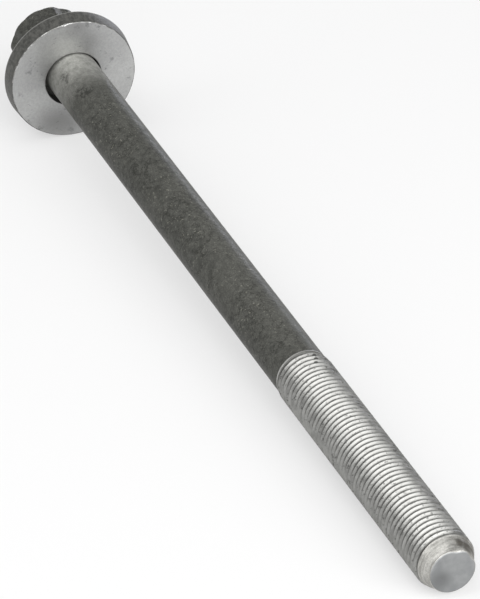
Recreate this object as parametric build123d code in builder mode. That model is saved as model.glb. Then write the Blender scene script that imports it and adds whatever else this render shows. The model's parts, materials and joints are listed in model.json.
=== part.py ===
from build123d import *

import os
from math import atan, atan2, cos, radians, sin, sqrt, tan

# Cylinder head bolt with a double-hexagon head, a plain shank, a rolled thread and a loose flat washer.
# It lies on a level surface at z = 0, touching it with the washer's rim and the end of the thread.
# The tip points along +X, and the axis slopes down towards it.

# Thread, a right-hand M11 x 1.25
thread_diameter = 11.0
thread_pitch = 1.25
threaded_length = 66.9
runout_turns = 2

# Shank, rolled down to near the pitch diameter, and the length from the seat to the tip
shank_diameter = 10.4
bolt_length = 192.5
under_head_fillet = 1.0

# Tapered lead at the tip, ending in a rounded lip and a flat face
lead_length = 3.5
tip_face_diameter = 7.2
tip_lip_radius = 0.6

# Head: twelve points, a chamfered top with a shallow dish, and a round collar on the seat
point_count = 12
across_flats = 14.3
head_height = 11.9
corner_radius = 1.4
valley_radius = 0.6
head_turn = 5.0
head_chamfer_width = 0.8
head_chamfer_angle = 53.0
dish_diameter = 9.0
dish_depth = 0.8
dish_wall_angle = 30.0
collar_diameter = 18.0
collar_thickness = 2.0
collar_edge_radius = 0.4

# Washer, thick and flat, with a blanked rim that tapers to the front and a hole that slips over the thread
washer_diameter = 26.6
washer_front_diameter = 25.9
washer_thickness = 3.8
washer_slip = 0.7
washer_face_edge = 0.1
washer_back_edge = 0.1
washer_hole_edge = 0.13

# How the loose washer hangs: it leans until its back touches the collar, and drops onto the shank
washer_lean = 2.8
washer_lean_side = 37.5
washer_seat_gap = 0.02
washer_shank_gap = 0.15

thread_radius = thread_diameter / 2
shank_radius = shank_diameter / 2
tip_face_radius = tip_face_diameter / 2
collar_radius = collar_diameter / 2
washer_radius = washer_diameter / 2
washer_front_radius = washer_front_diameter / 2
washer_hole_radius = (thread_diameter + washer_slip) / 2
corner_reach = across_flats / sqrt(3)
head_top_radius = corner_reach - head_chamfer_width

# Places along the axis, counted from the seat towards the tip
thread_start = bolt_length - threaded_length
thread_full = thread_start + runout_turns * thread_pitch
thread_end = bolt_length - lead_length
washer_middle = washer_seat_gap + collar_radius * tan(radians(washer_lean)) + washer_thickness / 2
washer_drop = washer_hole_radius - shank_radius - washer_shank_gap

# Slope of the axis that puts the washer's rim and the thread's end on the same level
lean_down = atan(tan(radians(washer_lean)) * cos(radians(washer_lean_side)))


def slope_on(rim_radius, rim_ahead):
    # The rim is a circle of this radius, this far ahead of the washer's middle
    rise = rim_radius * cos(lean_down) + washer_drop + rim_ahead * sin(lean_down) - thread_radius
    run = thread_end - washer_middle - rim_ahead * cos(lean_down) + rim_radius * sin(lean_down)
    return atan2(rise, run)


front_slope = slope_on(washer_front_radius, washer_thickness / 2 - washer_face_edge)
back_slope = slope_on(washer_radius, washer_back_edge - washer_thickness / 2)
slope = max(front_slope, back_slope)

# The seat's centre: the part is centred on X, and its lowest points are at z = 0
head_reach = head_height * cos(slope) + head_top_radius * sin(slope)
tip_reach = bolt_length * cos(slope) + tip_face_radius * sin(slope)
seat_x = (head_reach - tip_reach) / 2
seat_z = thread_radius * cos(slope) + thread_end * sin(slope)

along = Vector(cos(slope), 0, -sin(slope))
up = Vector(sin(slope), 0, cos(slope))
side = Vector(0, -1, 0)
seat = Vector(seat_x, 0, seat_z)

# Profiles lie in planes with x along the axis, towards the tip, and y away from it
bolt_plane = Plane(origin=seat, x_dir=along, z_dir=side)
head_plane = Plane(origin=seat, x_dir=up, z_dir=-along)

# Bolt, forged and rolled in one piece
chamfer_height = head_chamfer_width * tan(radians(head_chamfer_angle))
dish_floor_radius = dish_diameter / 2 - dish_depth * tan(radians(90 - dish_wall_angle))

with BuildPart() as bolt:
    # Two crossed hexagons make the twelve points; their corners and the valleys between them are rounded
    with BuildSketch(head_plane) as points:
        for turn in (head_turn, head_turn + 360 / point_count):
            RegularPolygon(
                radius=across_flats / 2, side_count=point_count // 2, major_radius=False, rotation=turn
            )
        fillet(points.vertices().sort_by_distance((0, 0))[-point_count:], radius=corner_radius)
        fillet(points.vertices().sort_by_distance((0, 0))[:point_count], radius=valley_radius)
    extrude(amount=head_height)

    # The chamfer trims the points to a round top
    with BuildSketch(bolt_plane):
        with BuildLine():
            Polyline(
                (0, 0),
                (-head_height, 0),
                (-head_height, head_top_radius),
                (-head_height + chamfer_height, corner_reach),
                (0, corner_reach),
                close=True,
            )
        make_face()
    revolve(axis=Axis(seat, along), mode=Mode.INTERSECT)

    # Dish in the top
    with BuildSketch(bolt_plane):
        with BuildLine():
            Polyline(
                (-head_height, 0),
                (-head_height, dish_diameter / 2),
                (-head_height + dish_depth, dish_floor_radius),
                (-head_height + dish_depth, 0),
                close=True,
            )
        make_face()
    revolve(axis=Axis(seat, along), mode=Mode.SUBTRACT)

    # Collar, shank, thread blank and tapered lead, turned about the axis
    with BuildSketch(bolt_plane):
        with BuildLine():
            Line((-collar_thickness, 0), (-collar_thickness, collar_radius - collar_edge_radius))
            RadiusArc(
                (-collar_thickness, collar_radius - collar_edge_radius),
                (-collar_thickness + collar_edge_radius, collar_radius),
                collar_edge_radius,
            )
            Line((-collar_thickness + collar_edge_radius, collar_radius), (0, collar_radius))
            Line((0, collar_radius), (0, shank_radius + under_head_fillet))
            RadiusArc(
                (0, shank_radius + under_head_fillet),
                (under_head_fillet, shank_radius),
                -under_head_fillet,
            )
            Line((under_head_fillet, shank_radius), (thread_start, shank_radius))
            Line((thread_start, shank_radius), (thread_full, thread_radius))
            Line((thread_full, thread_radius), (thread_end, thread_radius))
            Line(
                (thread_end, thread_radius),
                (bolt_length - tip_lip_radius, tip_face_radius + tip_lip_radius),
            )
            RadiusArc(
                (bolt_length - tip_lip_radius, tip_face_radius + tip_lip_radius),
                (bolt_length, tip_face_radius),
                tip_lip_radius,
            )
            Line((bolt_length, tip_face_radius), (bolt_length, 0))
            Line((bolt_length, 0), (-collar_thickness, 0))
        make_face()
    revolve(axis=Axis(seat, along))

# Washer, a plate with broken edges and a relief at the back that clears the fillet under the head
lean, lean_side = radians(washer_lean), radians(washer_lean_side)
washer_normal = along * cos(lean) - up * (sin(lean) * cos(lean_side)) + side * (sin(lean) * sin(lean_side))
washer_centre = seat + along * washer_middle - up * washer_drop
washer_plane = Plane(origin=washer_centre, x_dir=washer_normal, z_dir=washer_normal.cross(up))
face_x = washer_thickness / 2
back_x = -washer_thickness / 2

with BuildPart() as washer:
    with BuildSketch(washer_plane):
        with BuildLine():
            Polyline(
                (face_x, washer_hole_radius + washer_hole_edge),
                (face_x, washer_front_radius - washer_face_edge),
                (face_x - washer_face_edge, washer_front_radius),
                (back_x + washer_back_edge, washer_radius),
                (back_x, washer_radius - washer_back_edge),
                (back_x, washer_hole_radius + under_head_fillet),
                (back_x + under_head_fillet, washer_hole_radius),
                (face_x - washer_hole_edge, washer_hole_radius),
                close=True,
            )
        make_face()
    revolve(axis=Axis(washer_centre, washer_normal))

bolt.part.label = "bolt"
washer.part.label = "washer"

os.makedirs("parts", exist_ok=True)
export_step(bolt.part, "parts/bolt.step")
export_step(washer.part, "parts/washer.step")
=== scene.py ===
import json
from math import atan2, cos, exp, pi, radians, sin, sqrt, tan

import bpy
import numpy as np
from mathutils import Matrix, Vector


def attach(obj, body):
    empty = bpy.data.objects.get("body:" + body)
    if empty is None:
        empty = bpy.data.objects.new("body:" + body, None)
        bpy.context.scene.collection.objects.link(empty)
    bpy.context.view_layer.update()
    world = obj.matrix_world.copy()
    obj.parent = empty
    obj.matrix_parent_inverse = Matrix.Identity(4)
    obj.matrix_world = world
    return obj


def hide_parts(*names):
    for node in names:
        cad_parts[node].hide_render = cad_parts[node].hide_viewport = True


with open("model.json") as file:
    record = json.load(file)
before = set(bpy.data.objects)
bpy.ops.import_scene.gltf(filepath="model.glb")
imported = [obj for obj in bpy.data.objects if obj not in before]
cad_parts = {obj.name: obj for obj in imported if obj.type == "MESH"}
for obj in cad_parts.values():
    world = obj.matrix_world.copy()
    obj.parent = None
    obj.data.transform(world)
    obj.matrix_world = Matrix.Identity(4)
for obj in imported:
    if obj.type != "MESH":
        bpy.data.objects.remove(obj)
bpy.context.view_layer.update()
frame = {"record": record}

# Everything is in metres
MM = 0.001

# Thread
thread_radius = 5.5 * MM
thread_pitch = 1.25 * MM
thread_start = 125.6 * MM
runout_length = 2.5 * MM
thread_depth = 0.6134 * thread_pitch
crest_flat = thread_pitch / 8
flank_angle = radians(30)
thread_edge_cut = 0.025 * MM
thread_root_cut = 0.038 * MM
# Share of a turn by which the groove is moved along, so that its ends lie as in the photo
thread_phase = 0.45
# How far before the thread's start the run-out begins
runout_lead = 0.6 * MM
# The least distance between the groove's points and the ends of the thread
thread_join = 0.02 * MM

# Shank and the fillet under the head
shank_radius = 5.2 * MM
bolt_length = 192.5 * MM
under_head_fillet = 1.0 * MM
fillet_steps = 6
shank_steps = 8

# Lead and tip
lead_length = 3.5 * MM
tip_face_radius = 3.6 * MM
tip_lip = 0.6 * MM
tip_edge_radius = 4.02 * MM
tip_edge_cut = 0.12 * MM
lip_width = 0.32 * MM
lip_back = 0.48 * MM
lip_middle = 0.24 * MM
lip_crease = 0.06 * MM
lip_crease_cut = 0.05 * MM
lip_roundness = 0.18 * MM
lip_steps = 4
# Where the edge of the tip's face is sheared back: angle from the top towards -Y, and millimetres
edge_dips = [(-9, 0.38), (-57, 0.40)]
dip_width = radians(15)
# Shares of the edge's radius at which the tip's face has rings of points
tip_rings = (0.7, 0.35)
# The groove fades out round the lead's start, and a shallow trace of it goes on
lead_fade_before = 0.2 * MM
lead_fade_after = 1.1 * MM
lead_groove_trace = 0.17
lead_trace_end = 1.5 * MM

# Head
point_count = 12
lobe = 2 * pi / point_count
half_flats = 7.15 * MM
head_height = 11.9 * MM
corner_radius = 1.4 * MM
valley_radius = 0.6 * MM
head_turn = radians(5)
head_chamfer_width = 0.8 * MM
head_chamfer_angle = radians(53)
least_chamfer = 0.06 * MM
dish_radius = 4.5 * MM
dish_depth = 0.8 * MM
dish_wall_angle = radians(30)
dish_ring = 0.4
collar_radius = 9.0 * MM
collar_thickness = 2.0 * MM
forged_edge = 0.3 * MM
machined_edge = 0.12 * MM

# Washer
washer_radius = 13.3 * MM
washer_front_radius = 12.95 * MM
washer_thickness = 3.8 * MM
washer_hole_radius = 5.85 * MM
washer_face_edge = 0.1 * MM
washer_back_edge = 0.1 * MM
washer_hole_edge = 0.13 * MM
washer_edge_cut = 0.08 * MM
washer_steps = 360
# How it hangs: it leans against the collar, and its hole drops towards the shank
washer_lean = radians(2.8)
washer_seat_gap = 0.02 * MM
washer_drop = 0.5 * MM
# Wear of the edge of its face in millimetres: the mean, the most that the waves take away from it, and the
# waves, each with its height, its count round the rim and its phase
edge_wear_mean = 0.035
edge_wear_low = -0.03
edge_waves = [(0.015, 7, 1.0), (0.012, 17, 0.0), (0.010, 41, 2.0)]
# Nicks in that edge: angle from the top towards -Y, depth in millimetres and width
edge_nicks = [8.6, 68.1]
edge_nick_depth = 0.22
edge_nick_width = radians(1.3)

# Faces that meet at a sharper angle than this have a sharp edge
sharp_angle = radians(38)

# Marks on the bolt, in millimetres and degrees: place along the axis, angle from the top towards -Y, reach
scuff_marks = [
    (9.6, 50, 1.7),
    (11.4, 58, 1.6),
    (17.6, 43, 1.9),
    (18.8, 26, 2.0),
    (19.3, 37, 1.6),
    (122.6, 12, 0.9),
]
# Painted shade on the lead's side towards +Y, a dark reflection put into its colour; its centres lie the
# depth below under the thread's crest
lead_shade_marks = [(190.9, -46, 2.7), (190.6, -68, 2.7), (190.6, -24, 1.6)]
lead_shade_depth = 0.8 * MM
# Where the burnish beside the washer starts to fade, and where it ends; its paler colour is partly a
# painted reflection of the washer's face
burnish_and_reflection_start = 7.0
burnish_and_reflection_end = 20.0
# Dark nicks in the first grooves of the thread: place and angle; they are longest round the bolt
groove_nicks = [(127.1, -16.4), (128.4, -14.6), (129.7, -8.3), (131.1, -41.5)]
nick_shape = (2.2, 1, 1)
nick_reach = 0.75
# A smudge on the tip's face: angle, distance from the middle and reach
tip_smudge_angle = radians(118)
tip_smudge_place = 2.6 * MM
tip_smudge_reach = 3.2

# Marks on the washer's face, in millimetres: across to +Y and up from the middle, and reach
smudge_marks = [
    (0.8, 12.0, 1.6),
    (2.8, 12.0, 1.8),
    (5.2, 11.2, 1.8),
    (-9.4, 3.2, 1.5),
    (-11.2, -2.0, 1.4),
    (-9.1, -8.1, 1.8),
    (-6.9, -10.2, 1.7),
    (-0.4, -11.6, 1.5),
    (8.0, 3.3, 1.2),
    (11.6, -2.0, 1.3),
]
# Where painted shade darkens the face: across to +Y, up from the middle, reach and share
face_shade_marks = [
    (0.6, 12.2, 4.6, 0.55),
    (3.2, 8.2, 3.6, 0.45),
    (-4.6, -9.2, 6.2, 0.75),
    (-1.5, -9.5, 5.0, 0.6),
]

# Colours of the bolt: where there are two, noise mixes them
phosphate_colours = (0.060, 0.061, 0.055), (0.102, 0.103, 0.093)
cloud_colour = (0.128, 0.128, 0.115)
vein_colour = (0.024, 0.024, 0.021)
grain_colour = (0.030, 0.030, 0.028)
speck_colour = (0.32, 0.315, 0.27)
scuff_colour = (0.024, 0.024, 0.022)
# Burnish beside the washer: wear, with a paler colour that is partly a painted reflection of the washer's
# face
burnish_and_reflection_colours = (0.25, 0.25, 0.232), (0.39, 0.39, 0.365)
burnished_scuff_colour = (0.10, 0.10, 0.09)
thread_colours = (0.230, 0.230, 0.221), (0.332, 0.332, 0.320)
dull_thread_colour = (0.22, 0.22, 0.215)
pit_colour = (0.07, 0.07, 0.066)
lead_colours = (0.385, 0.379, 0.357), (0.530, 0.523, 0.495)
turning_mark_colour = (0.14, 0.137, 0.126)
# Painted shade deep in the thread's grooves
groove_shade_colour = (0.040, 0.040, 0.036)
nick_colour = (0.02, 0.02, 0.018)
# Painted highlight on the thread's first crest
first_crest_highlight_colour = (0.62, 0.62, 0.60)
# Painted shade on the lead's side towards +Y
lead_shade_colour = (0.100, 0.093, 0.080)
tip_colours = (0.220, 0.226, 0.229), (0.280, 0.285, 0.286)
tip_smudge_colour = (0.115, 0.117, 0.117)

# Colours of the washer
# The face's own colour, varied in broad sectors that paint the sheen of its ground rings
face_and_sheen_colours = (0.352, 0.354, 0.350), (0.418, 0.420, 0.414)
ring_colour = (0.56, 0.565, 0.57)
face_grain_colour = (0.20, 0.20, 0.20)
# Painted shade on the washer's face
face_shade_colour = (0.20, 0.20, 0.197)
patch_colour = (0.27, 0.275, 0.285)
fleck_colour = (0.10, 0.10, 0.105)
edge_colours = (0.12, 0.12, 0.115), (0.34, 0.34, 0.335)
rim_colours = (0.040, 0.040, 0.037), (0.090, 0.090, 0.082)
rim_streak_colour = (0.13, 0.13, 0.12)
# Painted highlight along the back edge of the rim
rim_back_highlight_colour = (0.30, 0.30, 0.285)
rim_front_colour = (0.05, 0.05, 0.046)
bore_colour = (0.06, 0.06, 0.056)

# How strongly each mark covers what is under it, from 0 to 1: where there are two, noise mixes them
cloud_cover = 0.35
vein_cover = 0.68
grain_cover = 0.38
speck_cover = 0.06, 0.40
scuff_cover = 0.65
burnished_scuff_cover = 0.7
dull_thread_cover = 0.35
pit_cover = 0.7
turning_mark_cover = 0.50
groove_shade_cover = 0.78
nick_cover = 0.8
first_crest_highlight_cover = 0.7
lead_shade_cover = 0.75, 0.9
tip_smudge_cover = 0.8
ring_cover = 0.10
face_grain_cover = 0.22
patch_cover = 0.5
fleck_cover = 0.5
rim_streak_cover = 0.3
rim_back_highlight_cover = 0.7
rim_front_cover = 0.45

# Roughness: where there are two values, noise mixes them
phosphate_roughness = 0.35, 0.28
burnished_roughness = 0.34
thread_roughness = 0.36, 0.46
tip_roughness = 0.36
lip_roughness = 0.55
face_roughness = 0.32, 0.40
rim_roughness = 0.5

# How much of each finish is bare metal, and on the lead the share of it that stays
burnished_metal = 0.68
crest_metal = 0.95
groove_metal = 0.55
lead_metal_share = 0.72
face_metal = 0.82
rim_metal = 0.2

# Sheen of the bolt where it isn't bare metal, and how far the washer stretches its highlights
phosphate_specular = 0.02
face_anisotropy = 0.4

# Heights of the fine relief, in millimetres
shank_relief = 0.010
thread_relief = 0.003
face_ring_relief = 0.002
face_grain_relief = 0.010
rim_relief = 0.05

# Light: the world's strength, the floor's colour and own glow, and the softboxes, each with its direction
# along the bolt, towards -Y and up, its distance, size, brightness and colour
world_strength = 0.32
floor_colour = (0.38, 0.38, 0.38)
floor_glow = 0.50
floor_reach = 6.0
softboxes = {
    "front": ((0.905, -0.06, 0.425), 1.6, (2.2, 1.6), 5.1, (1, 1, 1)),
    "top": ((0, 0.62, 0.78), 1.6, (1.2, 3.0), 1.6, (1, 1, 1)),
    "rim": ((-0.78, -0.62, 0.06), 1.2, (0.7, 0.12), 8.0, (0.88, 0.90, 1.0)),
}

# Camera, at the photograph's viewing angle; it aims at a place near the bolt's middle
camera_azimuth = radians(68.438)
camera_elevation = radians(28.447)
camera_distance = 887.6 * MM
camera_lens = 288.93
camera_clip = 50 * MM
aim_along = 96.16 * MM
aim_up = -0.37 * MM
aim_side = 0.58 * MM

# The bolt's axis and the direction of the washer's face come from the frame's mounts
mounts = {mount["name"]: mount for mount in frame["record"]["mounts"]}
along = Vector(mounts["thread"]["axis"]).normalized()
side = Vector((0, -1, 0))
up = side.cross(along)
thread_middle = (thread_start + runout_length + bolt_length - lead_length) / 2
seat = Vector(mounts["thread"]["pos_m"]) - along * thread_middle
washer_normal = Vector(mounts["seat"]["axis"]).normalized()
washer_middle = washer_seat_gap + collar_radius * tan(washer_lean) + washer_thickness / 2
washer_centre = seat + along * washer_middle - up * washer_drop


# Shapes

def smooth(values, low, high):
    """0 below low, 1 above high, and a smooth ramp between them."""
    share = np.clip((np.asarray(values, float) - low) / (high - low), 0, 1)
    return share * share * (3 - 2 * share)


def soften(corners, cuts, steps=2):
    """A line through the corners, each cut off by its own length and rounded with a few points."""
    largest_share = 0.45
    line = [corners[0]]
    for before, corner, after, cut in zip(corners, corners[1:], corners[2:], cuts):
        before, corner, after = Vector(before), Vector(corner), Vector(after)
        start = corner + (before - corner) * min(largest_share, cut / (before - corner).length)
        end = corner + (after - corner) * min(largest_share, cut / (after - corner).length)
        for step in range(steps + 1):
            share = step / steps
            point = start * (1 - share) ** 2 + corner * (2 * share * (1 - share)) + end * share**2
            line.append(tuple(point))
    line.append(corners[-1])
    return line


def new_object(name, vertices, faces, material):
    mesh = bpy.data.meshes.new(name)
    mesh.from_pydata(vertices, [], faces)
    mesh.validate()
    mesh.shade_smooth()
    mesh.set_sharp_from_angle(angle=sharp_angle)
    mesh.materials.append(material)
    piece = bpy.data.objects.new(name, mesh)
    bpy.context.scene.collection.objects.link(piece)
    return piece


# Bolt

def lobe_radius(angle):
    """The head's radius at an angle from its first point: rounded corner, straight flat, rounded valley."""
    offset = abs((angle + lobe / 2) % lobe - lobe / 2)
    corner_centre = (half_flats - corner_radius) / cos(lobe)
    if offset <= corner_arc_end():
        return corner_centre * cos(offset) + sqrt(corner_radius**2 - (corner_centre * sin(offset)) ** 2)
    if offset < valley_arc_start():
        return half_flats / cos(lobe - offset)
    from_valley = lobe / 2 - offset
    valley_centre = (half_flats + valley_radius) / cos(lobe / 2)
    return valley_centre * cos(from_valley) - sqrt(
        valley_radius**2 - (valley_centre * sin(from_valley)) ** 2
    )


def corner_arc_end():
    """The angle from a point of the head at which its rounded corner ends."""
    corner_centre = (half_flats - corner_radius) / cos(lobe)
    return atan2(corner_radius * sin(lobe), corner_centre + corner_radius * cos(lobe))


def valley_arc_start():
    """The angle from a point of the head at which the rounded valley starts."""
    valley_centre = (half_flats + valley_radius) / cos(lobe / 2)
    x = valley_centre * cos(lobe / 2) - valley_radius * cos(lobe)
    y = valley_centre * sin(lobe / 2) - valley_radius * sin(lobe)
    return atan2(y, x)


def column_angles():
    """Angles of the bolt's columns of points: each lobe has them on its corner, flats and valley."""
    arc, valley = corner_arc_end(), valley_arc_start()
    half = [0, arc / 3, arc * 2 / 3, arc, (arc + valley) / 2, valley, lobe / 2]
    offsets = half + [lobe - offset for offset in half[-2:0:-1]]
    return [point * lobe + offset for point in range(point_count) for offset in offsets]


def head_line(angle):
    """The head's outline in one column, from near the middle of its top to the start of the shank."""
    reach = lobe_radius(angle)
    top = -head_height
    top_radius = half_flats / cos(lobe) - head_chamfer_width
    floor_radius = dish_radius - dish_depth / tan(dish_wall_angle)
    edge_radius = min(top_radius, reach - least_chamfer)
    chamfer_height = max(least_chamfer, (reach - top_radius) * tan(head_chamfer_angle))
    corners = [
        (top + dish_depth, dish_ring * floor_radius),
        (top + dish_depth, floor_radius),
        (top, dish_radius),
        (top, edge_radius),
        (top + chamfer_height, reach),
        (-collar_thickness, reach),
        (-collar_thickness, collar_radius),
        (0, collar_radius),
        (0, shank_radius + under_head_fillet),
    ]
    cuts = [forged_edge, forged_edge, forged_edge / 2] + [forged_edge] * 3 + [machined_edge]
    line = soften(corners, cuts)
    for step in range(1, fillet_steps + 1):
        turn = step / fillet_steps * pi / 2
        place = under_head_fillet * (1 - cos(turn))
        line.append((place, shank_radius + under_head_fillet * (1 - sin(turn))))
    return line


def blank_radius(place):
    """The thread's outer radius along the bolt: it grows out of the shank and ends in the tapered lead."""
    thread_end = bolt_length - lead_length
    taper = (thread_radius - tip_face_radius - tip_lip) / (lead_length - tip_lip)
    rise_end = thread_start + runout_length - runout_lead / 2
    rise = smooth(place, thread_start - runout_lead, rise_end)
    past_end = np.maximum(np.asarray(place) - thread_end, 0)
    return shank_radius + (thread_radius - shank_radius) * rise - taper * past_end


def groove_share(place):
    """How deep the groove is, from 0 to 1: it fades in at the run-out and out on the lead."""
    thread_end = bolt_length - lead_length
    grown = smooth(place, thread_start - runout_lead, thread_start + runout_length / 2)
    left = 1 - smooth(place, thread_end - lead_fade_before, thread_end + lead_fade_after)
    trace = lead_groove_trace * (1 - smooth(place, thread_end + lead_trace_end, bolt_length - tip_lip))
    return grown * np.maximum(left, trace)


def groove_profile():
    """One pitch of the thread: places along the axis as shares of the pitch, and depths from 0 to 1."""
    slant = tan(flank_angle)
    flank_start = crest_flat / 2
    flank_end = flank_start + thread_depth * slant
    half = [
        (flank_start - thread_edge_cut, 0),
        (flank_start + thread_edge_cut, thread_edge_cut / slant),
        (flank_end - thread_root_cut, thread_depth - thread_root_cut / slant),
        (flank_end + thread_root_cut, thread_depth),
    ]
    both = half + [(thread_pitch - place, depth) for place, depth in reversed(half)]
    return [(place / thread_pitch, depth / thread_depth) for place, depth in both]


def thread_line(angle):
    """The thread's outline in one column, from the shank to the start of the lip at the tip."""
    start = thread_start - runout_lead
    end = bolt_length - tip_lip
    turn = angle / (2 * pi)
    first_turn = int(start / thread_pitch) - 2
    last_turn = int(end / thread_pitch) + 2
    places, depths = [], []
    for whole in range(first_turn, last_turn):
        for share, depth in groove_profile():
            places.append((whole + turn + thread_phase + share) * thread_pitch)
            depths.append(depth)
    places, depths = np.array(places), np.array(depths)
    inside = (places > start + thread_join) & (places < end - thread_join)
    places, depths = places[inside], depths[inside]
    radii = blank_radius(places) - thread_depth * depths * groove_share(places)
    return list(zip(places.tolist(), radii.tolist()))


def tip_line(angle):
    """The rolled lip and the sheared face at the tip in one column, ending near the axis."""
    edge = tip_edge_radius
    for dip_angle, dip in edge_dips:
        away = (angle - radians(dip_angle) + pi) % (2 * pi) - pi
        edge -= dip * MM * exp(-((away / dip_width) ** 2))
    lead_radius = tip_face_radius + tip_lip
    outer_ring, inner_ring = tip_rings
    corners = [
        (bolt_length - tip_lip, lead_radius),
        (bolt_length - lip_back, lead_radius - lip_crease),
        (bolt_length - lip_middle, edge + lip_width),
        (bolt_length, edge),
        (bolt_length, outer_ring * edge),
    ]
    line = soften(corners, [lip_crease_cut, lip_roundness, tip_edge_cut], steps=lip_steps)
    return line + [(bolt_length, inner_ring * edge)]


def zip_columns(left, right, height, faces):
    """Joins two columns of vertices with triangles, always moving on along the one that is behind."""
    i, j = 0, 0
    while i < len(left) - 1 or j < len(right) - 1:
        move_left = j == len(right) - 1 or (
            i < len(left) - 1 and height[left[i + 1]] <= height[right[j + 1]]
        )
        if move_left:
            faces.append((left[i], left[i + 1], right[j]))
            i += 1
        else:
            faces.append((left[i], right[j + 1], right[j]))
            j += 1


def build_bolt(material):
    """The whole bolt as one closed mesh, made of columns of points that run from its head to its tip."""
    shank_length = thread_start - under_head_fillet
    shank_places = [
        under_head_fillet + share * shank_length for share in np.linspace(0, 1, shank_steps + 1)
    ]
    vertices, heights, columns = [], [], []

    def add(place, angle, radius):
        away = up * cos(angle) + side * sin(angle)
        vertices.append(tuple(seat + along * place + away * radius))
        heights.append(place)
        return len(vertices) - 1

    top_pole = add(-head_height + dish_depth, 0, 0)
    tip_pole = add(bolt_length, 0, 0)
    for head_angle in column_angles():
        angle = head_angle - head_turn
        head = [add(place, angle, radius) for place, radius in head_line(head_angle)]
        shank = [add(place, angle, shank_radius) for place in shank_places[1:]]
        thread = [add(place, angle, radius) for place, radius in thread_line(head_angle)]
        tip = [add(place, angle, radius) for place, radius in tip_line(angle)]
        columns.append((head + shank, thread, tip))

    faces = []
    for index, (body, thread, tip) in enumerate(columns):
        next_body, next_thread, next_tip = columns[(index + 1) % len(columns)]
        faces.append((top_pole, body[0], next_body[0]))
        for low, high in ((body, next_body), (tip, next_tip)):
            for step in range(len(low) - 1):
                faces.append((low[step], low[step + 1], high[step + 1], high[step]))
        left = body[-1:] + thread + tip[:1]
        right = next_body[-1:] + next_thread + next_tip[:1]
        zip_columns(left, right, heights, faces)
        faces.append((tip[-1], tip_pole, next_tip[-1]))
    faces = [tuple(reversed(face)) for face in faces]
    return new_object("bolt_body", vertices, faces, material)


# Washer

def edge_wear(angle):
    """How far the edge of the washer's face is worn back: a little everywhere, more at the nicks."""
    wear = sum(height * sin(count * angle + phase) for height, count, phase in edge_waves)
    for nick in edge_nicks:
        wear += edge_nick_depth * exp(-(((angle - radians(nick)) / edge_nick_width) ** 2))
    return (edge_wear_mean + max(wear, edge_wear_low)) * MM


def washer_line(angle):
    """The washer's section at an angle: places along its normal and radii, from the middle of its face."""
    face, back = washer_thickness / 2, -washer_thickness / 2
    wear = edge_wear(angle)
    face_middle = (face, (washer_radius + washer_hole_radius) / 2)
    corners = [
        (face, washer_front_radius - washer_face_edge - wear),
        (face - washer_face_edge - wear, washer_front_radius),
        (back + washer_back_edge, washer_radius),
        (back, washer_radius - washer_back_edge),
        (back, washer_hole_radius + under_head_fillet),
        (back + under_head_fillet, washer_hole_radius),
        (face - washer_hole_edge, washer_hole_radius),
        (face, washer_hole_radius + washer_hole_edge),
    ]
    return soften([face_middle] + corners + [face_middle], [washer_edge_cut] * len(corners))[:-1]


def build_washer(material):
    """The washer as a closed ring of sections."""
    across = washer_normal.cross(up).normalized()
    upright = across.cross(washer_normal)
    vertices, faces = [], []
    for step in range(washer_steps):
        angle = 2 * pi * step / washer_steps
        away = upright * cos(angle) + across * sin(angle)
        line = washer_line(angle)
        for place, radius in line:
            vertices.append(tuple(washer_centre + washer_normal * place + away * radius))
    count = len(line)
    for step in range(washer_steps):
        this, following = step * count, (step + 1) % washer_steps * count
        for point in range(count):
            ahead = (point + 1) % count
            faces.append((this + point, this + ahead, following + ahead, following + point))
    washer = new_object("washer_ring", vertices, faces, material)
    unwrap_round(washer.data, count)
    return washer


def unwrap_round(mesh, count):
    """A UV map whose first direction runs round the hole, the way that the faces were ground."""
    layer = mesh.uv_layers.new(name="round_the_hole")
    for polygon in mesh.polygons:
        rows = [mesh.loops[loop].vertex_index // count for loop in polygon.loop_indices]
        closes_ring = min(rows) == 0 and max(rows) == washer_steps - 1
        for loop in polygon.loop_indices:
            row, point = divmod(mesh.loops[loop].vertex_index, count)
            if closes_ring and row == 0:
                row = washer_steps
            layer.data[loop].uv = (row / washer_steps, point / count)


# Materials

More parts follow.
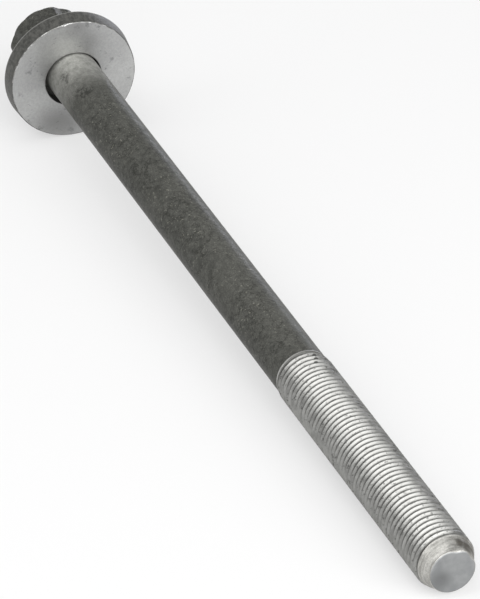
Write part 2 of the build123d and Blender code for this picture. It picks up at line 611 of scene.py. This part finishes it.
class Material:
    """A material's node tree. Each short call adds one node and returns its output."""

    def __init__(self, name):
        self.data = bpy.data.materials.new(name)
        self.data.use_nodes = True
        self.tree = self.data.node_tree
        self.shader = self.tree.nodes["Principled BSDF"]

    def put(self, socket, value):
        if isinstance(value, bpy.types.NodeSocket):
            self.tree.links.new(value, socket)
        elif isinstance(value, tuple) and len(value) == 3 and len(socket.default_value) == 4:
            socket.default_value = (*value, 1)
        else:
            socket.default_value = value

    def add(self, kind, values, output=0, **settings):
        node = self.tree.nodes.new("ShaderNode" + kind)
        for name, value in settings.items():
            setattr(node, name, value)
        for name, value in values.items():
            self.put(node.inputs[name], value)
        return node.outputs[output]

    def math(self, operation, first, second=0.0):
        return self.add("Math", {0: first, 1: second}, operation=operation)

    def total(self, first, second):
        return self.math("ADD", first, second)

    def product(self, *values):
        result = values[0]
        for value in values[1:]:
            result = self.math("MULTIPLY", result, value)
        return result

    def most(self, first, second):
        return self.math("MAXIMUM", first, second)

    def ramp(self, value, low, high, start=0.0, end=1.0):
        """start where the value is at low, end where it is at high, and a smooth change between them."""
        values = {"Value": value, "From Min": low, "From Max": high, "To Min": start, "To Max": end}
        return self.add("MapRange", values, interpolation_type="SMOOTHSTEP")

    def fall(self, value, low, high):
        """1 where the value is at low, 0 where it is at high."""
        return self.ramp(value, low, high, 1.0, 0.0)

    def band(self, value, low, high, fade_in, fade_out):
        """1 between low and high, and 0 beyond a fade on each side."""
        return self.product(self.ramp(value, low - fade_in, low), self.fall(value, high, high + fade_out))

    def blend(self, share, first, second):
        """The first colour where the share is 0, the second where it is 1."""
        return self.add("Mix", {0: share, 6: first, 7: second}, output=2, data_type="RGBA")

    def mix(self, share, first, second):
        """The first number where the share is 0, the second where it is 1."""
        return self.add("Mix", {0: share, 2: first, 3: second}, data_type="FLOAT")

    def place(self, origin, forward):
        """Millimetres from an origin: X along forward, Y across, Z upwards."""
        upright = (Vector((0, 0, 1)) - forward * forward.z).normalized()
        turn = Matrix((forward, upright.cross(forward), upright)).transposed().to_euler()
        own = self.add("TexCoord", {}, output=3)
        values = {"Vector": own, "Location": tuple(origin), "Rotation": tuple(turn), "Scale": (MM, MM, MM)}
        return self.add("Mapping", values, vector_type="TEXTURE")

    def split(self, point):
        """The place along the axis, the distance from it and the angle round it."""
        parts = self.tree.nodes.new("ShaderNodeSeparateXYZ")
        self.put(parts.inputs[0], point)
        along_axis, across, upright = parts.outputs
        square = self.total(self.product(across, across), self.product(upright, upright))
        return along_axis, self.math("SQRT", square), self.math("ARCTAN2", across, upright)

    def stretch(self, point, factors, shift=(0, 0, 0)):
        scaled = self.add("VectorMath", {0: point, 1: factors}, operation="MULTIPLY")
        return self.add("VectorMath", {0: scaled, 1: shift}, operation="ADD")

    def noise(self, point, size, detail=3.0, roughness=0.55, shift=0.0):
        """Soft noise from 0 to 1, with spots of about this size in millimetres; a shift makes it differ."""
        moved = self.stretch(point, (1, 1, 1), (shift, shift, shift)) if shift else point
        values = {"Vector": moved, "Scale": 1 / size, "Detail": detail, "Roughness": roughness}
        return self.add("TexNoise", values)

    def near(self, point, centre, reach):
        """1 at a centre, falling to 0 at this distance from it."""
        distance = self.add("VectorMath", {0: point, 1: centre}, output=1, operation="DISTANCE")
        return self.fall(distance, 0.0, reach)

    def finish(self, colour, metallic, roughness, height):
        """Links what varies over the surface; the height is in millimetres."""
        self.put(self.shader.inputs["Base Color"], colour)
        self.put(self.shader.inputs["Metallic"], metallic)
        self.put(self.shader.inputs["Roughness"], roughness)
        bump = self.add("Bump", {"Height": height, "Distance": MM, "Strength": 1.0})
        self.put(self.shader.inputs["Normal"], bump)
        return self.data


def on_bolt(place, angle, radius=shank_radius):
    """A point on the bolt's surface, in its own millimetres; the angle turns from the top towards -Y."""
    return (place / MM, -radius / MM * sin(angle), radius / MM * cos(angle))


def near_marks(steel, point, marks, radius=shank_radius):
    """1 at the middle of each mark on the bolt, falling to 0 at its reach."""
    share = 0.0
    for place, angle, reach in marks:
        centre = on_bolt(place * MM, radians(angle), radius)
        share = steel.most(share, steel.near(point, centre, reach))
    return share


def phosphate(steel, point, mottle, grain, scuffed):
    """Dark phosphate, clouded and veined, with tiny pale specks and a few dark scuffs."""
    cloud = steel.noise(steel.stretch(point, (0.35, 1, 1)), 7.0, 3.0, shift=40.0)
    vein = steel.noise(point, 2.4, 4.0, 0.62, shift=61.0)
    vein = steel.fall(steel.math("ABSOLUTE", steel.math("SUBTRACT", vein, 0.5)), 0.0, 0.030)
    veined = steel.ramp(steel.noise(point, 9.0, 1.0, shift=77.0), 0.36, 0.56, 0.25, 1.0)
    speck = steel.ramp(steel.noise(point, 0.52, 1.0, shift=11.0), 0.63, 0.74)
    speckled = steel.ramp(steel.noise(point, 12.0, 1.0, shift=33.0), 0.42, 0.62, *speck_cover)
    colour = steel.blend(steel.ramp(mottle, 0.34, 0.66), *phosphate_colours)
    colour = steel.blend(steel.ramp(cloud, 0.35, 0.7, 0.0, cloud_cover), colour, cloud_colour)
    colour = steel.blend(steel.product(vein, veined, vein_cover), colour, vein_colour)
    colour = steel.blend(steel.ramp(grain, 0.36, 0.62, grain_cover, 0.0), colour, grain_colour)
    colour = steel.blend(steel.product(speck, speckled), colour, speck_colour)
    return steel.blend(steel.product(scuffed, scuff_cover), colour, scuff_colour)


def rolled_thread(steel, point, mottle, streak):
    """Bright streaked steel, dull in places, with small pits."""
    colour = steel.blend(steel.ramp(streak, 0.3, 0.7), *thread_colours)
    colour = steel.blend(steel.ramp(mottle, 0.5, 0.8, 0.0, dull_thread_cover), colour, dull_thread_colour)
    pit = steel.noise(steel.stretch(point, (1, 0.6, 0.6)), 0.42, 2.0, 0.6, shift=47.0)
    return steel.blend(steel.ramp(pit, 0.58, 0.70, 0.0, pit_cover), colour, pit_colour)


def turned_lead(steel, point, grain):
    """Cream steel with fine turning marks round it."""
    colour = steel.blend(steel.ramp(grain, 0.3, 0.7), *lead_colours)
    lathe = steel.noise(steel.stretch(point, (1, 0.12, 0.12)), 0.40, 2.0, shift=17.0)
    return steel.blend(steel.ramp(lathe, 0.44, 0.62, 0.0, turning_mark_cover), colour, turning_mark_colour)


def groove_nick_share(steel, point):
    """Where the first grooves have dark nicks."""
    nicked = 0.0
    for place, angle in groove_nicks:
        centre = Vector(on_bolt(place * MM, radians(angle))) * Vector(nick_shape)
        near = steel.near(steel.stretch(point, nick_shape), tuple(centre), nick_reach)
        nicked = steel.most(nicked, near)
    return steel.ramp(nicked, 0.1, 0.5, 0.0, nick_cover)


def sheared_face(steel, point):
    """The flat face at the tip: plain steel with one soft smudge."""
    shear = steel.noise(point, 2.2, 3.0, 0.5, shift=31.0)
    colour = steel.blend(steel.ramp(shear, 0.3, 0.7), *tip_colours)
    centre = on_bolt(bolt_length, tip_smudge_angle, tip_smudge_place)
    smudge = steel.near(point, centre, tip_smudge_reach)
    smudge = steel.product(smudge, steel.ramp(shear, 0.2, 0.6, 0.5, 1.0), tip_smudge_cover)
    return steel.blend(smudge, colour, tip_smudge_colour)


def bolt_material():
    """Phosphate on the head and shank, burnished steel beside the washer that is partly a painted
    reflection of the washer's face, and the thread, lead and tip.
    """
    steel = Material("bolt_steel")
    point = steel.place(seat, along)
    place, radius, _ = steel.split(point)
    start, end = thread_start / MM, bolt_length / MM
    lead_start = end - lead_length / MM
    shank, crest = shank_radius / MM, thread_radius / MM
    grain = steel.noise(point, 0.30, 2.0)
    mottle = steel.noise(steel.stretch(point, (0.8, 1, 1)), 1.3, 6.0, 0.72)
    streak = steel.noise(steel.stretch(point, (1, 0.25, 0.25)), 0.5, 3.0, shift=5.0)

    # Where each finish lies, and where shade and highlights are painted
    dirt = steel.noise(steel.stretch(point, (1, 1.4, 1)), 1.0, 5.0, 0.7, shift=23.0)
    scuffed = steel.ramp(near_marks(steel, point, scuff_marks), 0.0, 0.5)
    scuffed = steel.product(steel.ramp(dirt, 0.45, 0.56), scuffed)
    # Burnish beside the washer: real wear, lightened as a painted reflection of the washer's face
    worn = steel.fall(place, burnish_and_reflection_start, burnish_and_reflection_end)
    worn = steel.product(worn, steel.ramp(mottle, 0.15, 0.6, 0.6, 0.85), steel.ramp(place, 0.0, 1.0))
    runout_start = start - runout_lead / MM
    raised = steel.ramp(radius, shank + 0.005, shank + 0.03)
    raised = steel.product(raised, steel.ramp(place, runout_start, runout_start + 0.3))
    rolled = steel.most(raised, steel.ramp(place, start - 0.1, start + 1.0))
    turned = steel.ramp(place, lead_start, lead_start + 0.5)
    # Painted shade deep in the thread's grooves, where the crests shade them; the same depth also lowers
    # the metal
    groove = steel.fall(radius, crest - 0.60, crest - 0.28)
    groove = steel.product(groove, steel.fall(place, lead_start, lead_start + 1.0))
    # Painted highlight: a pale band on the first crest, where the thread rises from the shank
    first_crest_highlight = steel.band(place, start - 0.8, start + 0.2, 0.3, 0.3)
    # Painted shade on the lead's side towards +Y, a dark reflection put into the colour
    lead_shaded = near_marks(steel, point, lead_shade_marks, thread_radius - lead_shade_depth)
    lead_shaded = steel.product(steel.ramp(lead_shaded, 0.0, 0.9), steel.ramp(mottle, 0.25, 0.5, *lead_shade_cover))
    tip = steel.ramp(place, end - 0.16, end - 0.05)
    lip = steel.band(place, end - 0.4, end - 0.02, 0.1, 0.015)

    # Colour of the burnish, partly a painted reflection of the washer's face
    bare = steel.blend(steel.ramp(mottle, 0.3, 0.7), *burnish_and_reflection_colours)
    bare = steel.blend(steel.product(scuffed, burnished_scuff_cover), bare, burnished_scuff_colour)
    silver = rolled_thread(steel, point, mottle, streak)
    silver = steel.blend(turned, silver, turned_lead(steel, point, grain))
    # Painted shade in the grooves
    silver = steel.blend(steel.product(groove, groove_shade_cover), silver, groove_shade_colour)
    silver = steel.blend(groove_nick_share(steel, point), silver, nick_colour)
    silver = steel.blend(steel.product(first_crest_highlight, first_crest_highlight_cover), silver, first_crest_highlight_colour)

    colour = phosphate(steel, point, mottle, grain, scuffed)
    colour = steel.blend(worn, colour, bare)
    colour = steel.blend(rolled, colour, silver)
    colour = steel.blend(lead_shaded, colour, lead_shade_colour)
    colour = steel.blend(tip, colour, sheared_face(steel, point))

    bright = steel.product(rolled, steel.ramp(groove, 0.0, 1.0, crest_metal, groove_metal))
    bright = steel.product(bright, steel.ramp(turned, 0.0, 1.0, 1.0, lead_metal_share))
    metal = steel.most(steel.product(worn, burnished_metal), bright)
    rough = steel.mix(worn, steel.ramp(mottle, 0.3, 0.7, *phosphate_roughness), burnished_roughness)
    rough = steel.mix(rolled, rough, steel.ramp(streak, 0.3, 0.7, *thread_roughness))
    rough = steel.mix(tip, rough, tip_roughness)
    rough = steel.mix(lip, rough, lip_roughness)
    height = steel.total(grain, steel.product(mottle, 1.6))
    height = steel.product(height, steel.mix(rolled, shank_relief, thread_relief))
    steel.shader.inputs["Specular IOR Level"].default_value = phosphate_specular
    return steel.finish(colour, metal, rough, height)


def ground_face(steel, point, angle, ring, grain):
    """Silver with broad soft sectors of painted sheen round the hole, fine rings, painted shade in places
    and small dark smudges.
    """
    half = washer_thickness / 2 / MM
    cloud = steel.noise(point, 7.0, 2.0, shift=15.0)
    # Painted sheen: broad lighter and darker sectors round the hole, as the ground rings reflect light
    painted_sheen = steel.math("SINE", steel.total(steel.product(angle, 3.0), steel.product(cloud, 5.0)))
    colour = steel.blend(steel.ramp(painted_sheen, -1.0, 1.0), *face_and_sheen_colours)
    colour = steel.blend(steel.ramp(ring, 0.35, 0.7, 0.0, ring_cover), colour, ring_colour)
    colour = steel.blend(steel.ramp(grain, 0.35, 0.65, face_grain_cover, 0.0), colour, face_grain_colour)
    # Painted shade: broad darker patches at the top and bottom of the face
    for across, upward, reach, share in face_shade_marks:
        face_shade = steel.product(steel.near(point, (half, across, upward), reach), share)
        colour = steel.blend(face_shade, colour, face_shade_colour)
    mottle = steel.noise(point, 1.8, 4.0, 0.6)
    colour = steel.blend(steel.ramp(mottle, 0.62, 0.8, 0.0, patch_cover), colour, patch_colour)

    fleck = steel.noise(steel.stretch(point, (1, 1, 1.6)), 0.75, 4.0, 0.65, shift=8.0)
    patches = steel.ramp(steel.noise(point, 3.4, 2.0, shift=52.0), 0.52, 0.66)
    fleck = steel.product(steel.ramp(fleck, 0.56, 0.66), patches)
    smear = steel.noise(point, 0.8, 4.0, 0.65, shift=71.0)
    for across, upward, reach in smudge_marks:
        near = steel.near(point, (half, across, upward), reach)
        smudge = steel.ramp(steel.total(smear, steel.product(near, 0.2)), 0.60, 0.76)
        fleck = steel.most(fleck, steel.product(smudge, near))
    return steel.blend(steel.product(fleck, fleck_cover), colour, fleck_colour)


def punched_rim(steel, point, depth, tear):
    """Dark olive grey with grain across it, with a painted highlight along the back edge, and darker at the
    front.
    """
    half = washer_thickness / 2 / MM
    band = steel.noise(steel.stretch(point, (1, 0.2, 0.2)), 0.5, 3.0, shift=3.0)
    colour = steel.blend(steel.ramp(tear, 0.36, 0.64), *rim_colours)
    # Painted highlight: a pale band along the rim's back edge
    back = steel.ramp(depth, 0.5 - half, 0.15 - half, 0.0, rim_back_highlight_cover)
    front = steel.ramp(depth, half - 0.9, half - 0.3, 0.0, rim_front_cover)
    colour = steel.blend(steel.ramp(band, 0.4, 0.7, 0.0, rim_streak_cover), colour, rim_streak_colour)
    colour = steel.blend(back, colour, rim_back_highlight_colour)
    return steel.blend(front, colour, rim_front_colour)


def washer_material():
    """Ground faces with a worn edge, a punched rim and a dark bore."""
    steel = Material("washer_steel")
    point = steel.place(washer_centre, washer_normal)
    depth, radius, angle = steel.split(point)
    half = washer_thickness / 2 / MM
    hole, front = washer_hole_radius / MM, washer_front_radius / MM
    grain = steel.noise(point, 0.35, 3.0)
    round_the_hole = steel.add("CombineXYZ", {0: radius, 1: steel.product(angle, 0.6), 2: 0.0})
    ring = steel.noise(round_the_hole, 0.22, 3.0)
    tear = steel.noise(steel.stretch(point, (0.5, 1, 1)), 0.6, 4.0, 0.65)
    worn_edge = steel.noise(point, 1.3, 3.0, 0.6, shift=90.0)

    edge = steel.ramp(radius, front - 0.24, front - 0.16)
    rim = steel.ramp(radius, front - 0.10, front - 0.02)
    rim = steel.product(rim, steel.fall(depth, half - 0.10, half - 0.02))
    bore = steel.fall(radius, hole + 0.02, hole + 0.12)

    colour = ground_face(steel, point, angle, ring, grain)
    colour = steel.blend(edge, colour, steel.blend(steel.ramp(worn_edge, 0.45, 0.62), *edge_colours))
    colour = steel.blend(rim, colour, punched_rim(steel, point, depth, tear))
    colour = steel.blend(bore, colour, bore_colour)

    metal = steel.mix(steel.most(rim, bore), face_metal, rim_metal)
    rough = steel.mix(rim, steel.ramp(ring, 0.3, 0.7, *face_roughness), rim_roughness)
    height = steel.total(steel.product(ring, face_ring_relief), steel.product(grain, face_grain_relief))
    height = steel.mix(rim, height, steel.product(tear, rim_relief))
    steel.shader.inputs["Anisotropic"].default_value = face_anisotropy
    tangent = steel.add("Tangent", {}, direction_type="UV_MAP", uv_map="round_the_hole")
    steel.put(steel.shader.inputs["Tangent"], tangent)
    return steel.finish(colour, metal, rough, height)


# Stage

def floor_material():
    """Pale and matt. Its glow is seen by the camera and in reflections only, and lights nothing."""
    material = bpy.data.materials.new("floor_white")
    material.use_nodes = True
    tree = material.node_tree
    tree.nodes.clear()
    path = tree.nodes.new("ShaderNodeLightPath")
    seen = path.outputs["Is Camera Ray"]
    for ray in ("Is Glossy Ray", "Is Transmission Ray"):
        either = tree.nodes.new("ShaderNodeMath")
        either.operation = "MAXIMUM"
        tree.links.new(seen, either.inputs[0])
        tree.links.new(path.outputs[ray], either.inputs[1])
        seen = either.outputs[0]
    strength = tree.nodes.new("ShaderNodeMath")
    strength.operation = "MULTIPLY"
    strength.inputs[1].default_value = floor_glow
    tree.links.new(seen, strength.inputs[0])
    glow = tree.nodes.new("ShaderNodeEmission")
    glow.inputs["Color"].default_value = (1, 1, 1, 1)
    tree.links.new(strength.outputs[0], glow.inputs["Strength"])
    diffuse = tree.nodes.new("ShaderNodeBsdfDiffuse")
    diffuse.inputs["Color"].default_value = (*floor_colour, 1)
    both = tree.nodes.new("ShaderNodeAddShader")
    tree.links.new(diffuse.outputs[0], both.inputs[0])
    tree.links.new(glow.outputs[0], both.inputs[1])
    output = tree.nodes.new("ShaderNodeOutputMaterial")
    tree.links.new(both.outputs[0], output.inputs["Surface"])
    return material


def build_floor():
    reach = floor_reach
    corners = [(-reach, -reach, 0), (reach, -reach, 0), (reach, reach, 0), (-reach, reach, 0)]
    mesh = bpy.data.meshes.new("floor")
    mesh.from_pydata(corners, [], [(0, 1, 2, 3)])
    mesh.materials.append(floor_material())
    floor = bpy.data.objects.new("floor", mesh)
    bpy.context.scene.collection.objects.link(floor)


def build_camera():
    level = cos(camera_elevation)
    back = Vector((sin(camera_azimuth) * level, -cos(camera_azimuth) * level, sin(camera_elevation)))
    aim = seat + along * aim_along + up * aim_up + side * aim_side
    data = bpy.data.cameras.new("camera")
    data.lens = camera_lens
    data.clip_start = camera_clip
    camera = bpy.data.objects.new("camera", data)
    camera.location = aim + back * camera_distance
    camera.rotation_euler = back.to_track_quat("Z", "Y").to_euler()
    bpy.context.scene.collection.objects.link(camera)
    bpy.context.scene.camera = camera


def build_softboxes():
    target = seat + along * (bolt_length / 2)
    for name, (place, distance, size, brightness, colour) in softboxes.items():
        direction = along * place[0] + side * place[1] + up * place[2]
        data = bpy.data.lights.new(name, "AREA")
        data.shape = "RECTANGLE"
        data.size, data.size_y = size
        data.energy = brightness * pi * size[0] * size[1]
        data.color = colour
        lamp = bpy.data.objects.new(name, data)
        lamp.location = target + direction.normalized() * distance
        lamp.rotation_euler = direction.to_track_quat("Z", "Y").to_euler()
        lamp.visible_camera = False
        bpy.context.scene.collection.objects.link(lamp)


def build_world():
    world = bpy.data.worlds.new("studio")
    bpy.context.scene.world = world
    world.use_nodes = True
    background = world.node_tree.nodes["Background"]
    background.inputs["Color"].default_value = (1, 1, 1, 1)
    background.inputs["Strength"].default_value = world_strength


bpy.context.scene.view_settings.view_transform = "Standard"
bolt = build_bolt(bolt_material())
washer = build_washer(washer_material())
for piece, node, slot in ((bolt, "bolt", "bolt_steel"), (washer, "washer", "washer_steel")):
    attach(piece, "root")
    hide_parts(node)

build_floor()
build_world()
build_camera()
build_softboxes()
